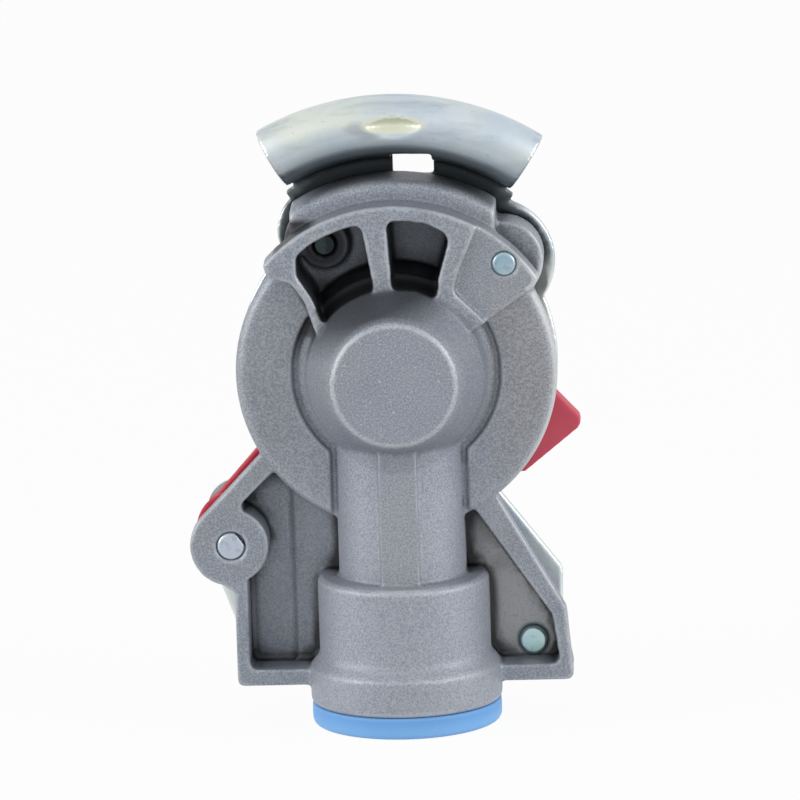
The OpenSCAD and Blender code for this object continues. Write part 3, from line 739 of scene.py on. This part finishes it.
def linked(name, mesh):
    """An object at the origin that shows a mesh."""
    made = bpy.data.objects.new(name, mesh)
    bpy.context.scene.collection.objects.link(made)
    return made


def plain_mesh(draft):
    """The mesh that the modifiers of a draft make. The draft is removed."""
    bpy.context.view_layer.update()
    graph = bpy.context.evaluated_depsgraph_get()
    made = bpy.data.meshes.new_from_object(draft.evaluated_get(graph))
    bpy.data.objects.remove(draft)
    return made


def rebuilt(node, name, cell, passes, most_triangles):
    """The mesh of a solid, made again from even cells, smoothed and thinned."""
    mesh = nodes[node].data.copy()
    work = bmesh.new()
    work.from_mesh(mesh)
    bmesh.ops.remove_doubles(work, verts=work.verts, dist=1e-6)
    work.to_mesh(mesh)
    work.free()
    draft = linked(name + "_draft", mesh)
    remesh = draft.modifiers.new("cells", "REMESH")
    remesh.mode = "VOXEL"
    remesh.voxel_size = cell
    remesh.use_smooth_shade = True
    smooth = draft.modifiers.new("smooth", "SMOOTH")
    smooth.factor = 0.5
    smooth.iterations = passes
    bpy.context.view_layer.update()
    ready = draft.evaluated_get(bpy.context.evaluated_depsgraph_get())
    triangles = sum(len(p.vertices) - 2 for p in ready.data.polygons)
    if triangles > most_triangles:
        thin = draft.modifiers.new("thin", "DECIMATE")
        thin.ratio = most_triangles / triangles
    return plain_mesh(draft)


def soft_copy(node, name, cell, passes, most_triangles, finish):
    """A copy of a solid with rounded edges, which stands for the solid."""
    made = rebuilt(node, name, cell, passes, most_triangles)
    made.name = name
    made.materials.clear()
    made.materials.append(finish)
    made.polygons.foreach_set("use_smooth", [True] * len(made.polygons))
    means = store_values(made, cell)
    piece = linked(name, made)
    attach(piece, nodes[node]["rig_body"])
    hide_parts(node)
    print(name, "polygons", len(made.polygons), "means", means)
    return piece


# Each row: node, piece, cell in millimetres, passes, most triangles, finish and slot
SOFT = [
    ("body_casting", "cast_body", 0.42, 5, 190000, cast_grey, "casting"),
    ("guide_plate", "pressed_plate", 0.36, 3, 150000, plate_zinc, "plated_sheet"),
    ("lid", "moulded_lid", 0.36, 4, 100000, lid_red, "lid_red"),
    ("port_plug", "moulded_plug", 0.4, 4, 60000, plug_blue, "plug_blue"),
    ("rivet_upper_left", "rivet_in_window", 0.2, 4, 12000, rivet_shaded, "zinc_pin"),
    ("rivet_upper_right", "rivet_in_panel", 0.2, 4, 16000, rivet_blue, "zinc_pin"),
    ("rivet_lower_right", "rivet_in_wing", 0.2, 4, 12000, rivet_green, "zinc_pin"),
    ("lid_pin", "turned_pin", 0.2, 3, 30000, pin_grey, "zinc_pin"),
]
for node, name, cell, passes, most, finish, slot in SOFT:
    piece = soft_copy(node, name, cell * MM, passes, most, finish)

# %% [markdown]
# ## Round wire
#
# A spring is a circle that follows a path. One tree of Geometry Nodes makes any such wire: it turns a chain
# of points into a curve, reads how thick it is from the value `girth` on the points, and sweeps a circle
# along it.

# %% Sweep tree


def make_sweep_tree():
    tree = bpy.data.node_groups.new("sweep_round", "GeometryNodeTree")
    face = tree.interface
    face.new_socket("Geometry", in_out="INPUT", socket_type="NodeSocketGeometry")
    sides = face.new_socket("Sides", in_out="INPUT", socket_type="NodeSocketInt")
    coat = face.new_socket("Finish", in_out="INPUT", socket_type="NodeSocketMaterial")
    face.new_socket("Geometry", in_out="OUTPUT", socket_type="NodeSocketGeometry")
    add = tree.nodes.new
    enter, leave = add("NodeGroupInput"), add("NodeGroupOutput")
    chain = add("GeometryNodeMeshToCurve")
    girth = add("GeometryNodeInputNamedAttribute")
    girth.data_type = "FLOAT"
    girth.inputs["Name"].default_value = "girth"
    circle = add("GeometryNodeCurvePrimitiveCircle")
    circle.inputs["Radius"].default_value = 1.0
    sweep = add("GeometryNodeCurveToMesh")
    sweep.inputs["Fill Caps"].default_value = True
    real = add("GeometryNodeRealizeInstances")
    paint = add("GeometryNodeSetMaterial")
    link = tree.links.new
    link(enter.outputs["Geometry"], chain.inputs["Mesh"])
    link(enter.outputs["Sides"], circle.inputs["Resolution"])
    link(chain.outputs["Curve"], sweep.inputs["Curve"])
    link(circle.outputs["Curve"], sweep.inputs["Profile Curve"])
    link(girth.outputs["Attribute"], sweep.inputs["Scale"])
    link(sweep.outputs["Mesh"], real.inputs["Geometry"])
    link(real.outputs["Geometry"], paint.inputs["Geometry"])
    link(enter.outputs["Finish"], paint.inputs["Material"])
    link(paint.outputs["Geometry"], leave.inputs["Geometry"])
    return tree, sides.identifier, coat.identifier


sweep_tree, sides_key, finish_key = make_sweep_tree()


def swept(name, path, girth, sides, finish):
    """A round bar along a path, as a plain mesh."""
    chain = bpy.data.meshes.new(name + "_path")
    chain.from_pydata([tuple(p) for p in path], [(i, i + 1) for i in range(len(path) - 1)], [])
    stored = chain.attributes.new("girth", "FLOAT", "POINT")
    stored.data.foreach_set("value", np.full(len(path), girth, np.float32))
    draft = linked(name + "_draft", chain)
    modifier = draft.modifiers.new("sweep", "NODES")
    modifier.node_group = sweep_tree
    modifier[sides_key] = sides
    modifier[finish_key] = finish
    made = plain_mesh(draft)
    made.name = name
    made.shade_smooth()
    print(name, "polygons", len(made.polygons), "thickness mm", round(girth * 2 / MM, 2))
    return linked(name, made)


# %% [markdown]
# ## The two springs
#
# The lid's spring has a straight leg along the arm, a close coil round the pin and a tang in the pin's slot.
# The valve's spring is an open coil.

# %% Lid spring
# The sizes of a wire and its coil are radii, and the coil's is taken to the middle of the wire
STEPS_A_TURN = 40
LID_WIRE = 0.8 * MM
LID_WIRE_SIDES = 14
LID_COIL = 5.6 * MM
LID_TURNS = 4
LEG_REACH = 20.5 * MM
LEG_POINTS = 8
TANG_BEND = 0.6


def lid_spring_path():
    low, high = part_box("lid_spring")
    pivot = Vector((pin_middle.x, 0, pin_middle.z))
    arm = math.atan2(seal_middle.z - pivot.z, seal_middle.x - pivot.x)
    first, last = low.y + LID_WIRE, high.y - LID_WIRE

    def at(reach, side, depth):
        along = Vector((math.cos(arm), 0, math.sin(arm)))
        across = Vector((-math.sin(arm), 0, math.cos(arm)))
        return pivot + along * reach + across * side + Vector((0, depth, 0))

    path = [at(LEG_REACH * (1 - i / LEG_POINTS), LID_COIL, first) for i in range(LEG_POINTS)]
    steps = STEPS_A_TURN * LID_TURNS
    for i in range(steps + 1):
        turn = arm + math.pi / 2 + 2 * math.pi * i / STEPS_A_TURN
        depth = first + (last - first) * i / steps
        path.append(pivot + Vector((LID_COIL * math.cos(turn), depth, LID_COIL * math.sin(turn))))
    path.append(at(0, LID_COIL * TANG_BEND, last))
    path.append(at(0, 0, last))
    return path, low.y, high.y


path, spring_low, spring_high = lid_spring_path()
lid_spring = swept("coil_lid", path, LID_WIRE, LID_WIRE_SIDES, drawn_wire)
spring_low + 2 * LID_WIRE
spring_high - 2 * LID_WIRE
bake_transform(lid_spring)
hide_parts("lid_spring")

# %% Valve spring
VALVE_WIRE = 0.6 * MM
VALVE_WIRE_SIDES = 12
VALVE_TURNS = 4


def valve_spring_path():
    low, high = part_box("valve_spring")
    coil = (high.x - low.x) / 2 - VALVE_WIRE
    back, front = low.y + VALVE_WIRE, high.y - VALVE_WIRE
    path = []
    steps = STEPS_A_TURN * VALVE_TURNS
    for i in range(steps + 1):
        turn = 2 * math.pi * i / STEPS_A_TURN
        depth = back + (front - back) * i / steps
        side = Vector((coil * math.cos(turn), depth, coil * math.sin(turn)))
        path.append(side + Vector((0, 0, seal_middle.z)))
    return path, back, front


path, back, front = valve_spring_path()
valve_spring = swept("coil_valve", path, VALVE_WIRE, VALVE_WIRE_SIDES, drawn_wire)
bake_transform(valve_spring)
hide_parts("valve_spring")

# %% [markdown]
# ## Finishes for the solids that stay
#
# The other solids already have the right shape. They keep their meshes and only change their finish.

# %% Dress the rest
FINISH_OF = {
    "pin_washer": plate_zinc,
    "face_seal": seal_rubber,
    "valve_poppet": turned_brass,
    "valve_seal": seal_rubber,
    "valve_cage": turned_brass,
    "cage_ring": drawn_wire,
}
for node, finish in FINISH_OF.items():
    data = nodes[node].data
    data.materials.clear()
    data.materials.append(finish)
print("dressed", len(FINISH_OF), "solids")

# %% [markdown]
# ## Floor and light
#
# The photograph has a plain white ground. The floor and the world are white to the camera and to reflections,
# while the light that falls on the head comes from a soft sky and two large lamps, so nothing is bleached.

# %% White ground
WHITE = (1, 1, 1, 1)
AMBIENT = 0.4
FLOOR_TONE = (0.9, 0.9, 0.9, 1)
FLOOR_WHITE = 0.95
FLOOR_HALF = 3.0


def seen_rays(f):
    """1 for rays from the camera, and for those that a shine or a clear piece sends on."""
    names = ("Is Camera Ray", "Is Glossy Ray", "Is Transmission Ray")
    camera_ray, glossy_ray, through_ray = (f.node("ShaderNodeLightPath", output=name) for name in names)
    return camera_ray.most(glossy_ray).most(through_ray)


def white_world():
    f = Finish("studio", bpy.data.worlds)
    soft = f.node("ShaderNodeBackground", {}, {"Color": WHITE, "Strength": AMBIENT})
    plain = f.node("ShaderNodeBackground", {}, {"Color": WHITE, "Strength": 1.0})
    both = f.node("ShaderNodeMixShader", {}, {0: seen_rays(f), 1: soft, 2: plain})
    f.node("ShaderNodeOutputWorld", {}, {"Surface": both})
    bpy.context.scene.world = f.owner


def white_floor():
    f = Finish("studio_floor")
    matte = f.node("ShaderNodeBsdfDiffuse", {}, {"Color": FLOOR_TONE})
    glow = f.node("ShaderNodeEmission", {}, {"Color": WHITE, "Strength": 1.0})
    both = f.node("ShaderNodeMixShader", {}, {0: seen_rays(f) * FLOOR_WHITE, 1: matte, 2: glow})
    f.node("ShaderNodeOutputMaterial", {}, {"Surface": both})
    mesh = bpy.data.meshes.new("floor")
    corners = [(x * FLOOR_HALF, y * FLOOR_HALF, 0) for x, y in ((-1, -1), (1, -1), (1, 1), (-1, 1))]
    mesh.from_pydata(corners, [], [(0, 1, 2, 3)])
    mesh.materials.append(f.owner)
    floor = linked("floor", mesh)


white_world()
white_floor()
print("floor side m", 2 * FLOOR_HALF)

# %% Lamps
LAMP_PLACE = (1.3, -0.5, 0.55)
LAMP_SIDE = 0.8
LAMP_SHARE = 0.5
HEAD_MIDDLE = (0, 0, 70 * MM)


def soft_lamp(name, place, target, side, share):
    """A square lamp that adds a share of full daylight on a surface that faces it."""
    data = bpy.data.lights.new(name, "AREA")
    data.size = side
    reach = (Vector(target) - Vector(place)).length
    data.energy = share * math.pi**2 * reach**2
    lamp = bpy.data.objects.new(name, data)
    lamp.location = place
    lamp.rotation_euler = (Vector(target) - Vector(place)).to_track_quat("-Z", "Y").to_euler()
    bpy.context.scene.collection.objects.link(lamp)
    print(name, "watts", round(data.energy, 1))
    return lamp


for name, hand in (("right_lamp", 1), ("left_lamp", -1)):
    across, depth, height = LAMP_PLACE
    soft_lamp(name, (hand * across, depth, height), HEAD_MIDDLE, LAMP_SIDE, LAMP_SHARE)
bpy.context.scene.view_settings.view_transform = "Standard"
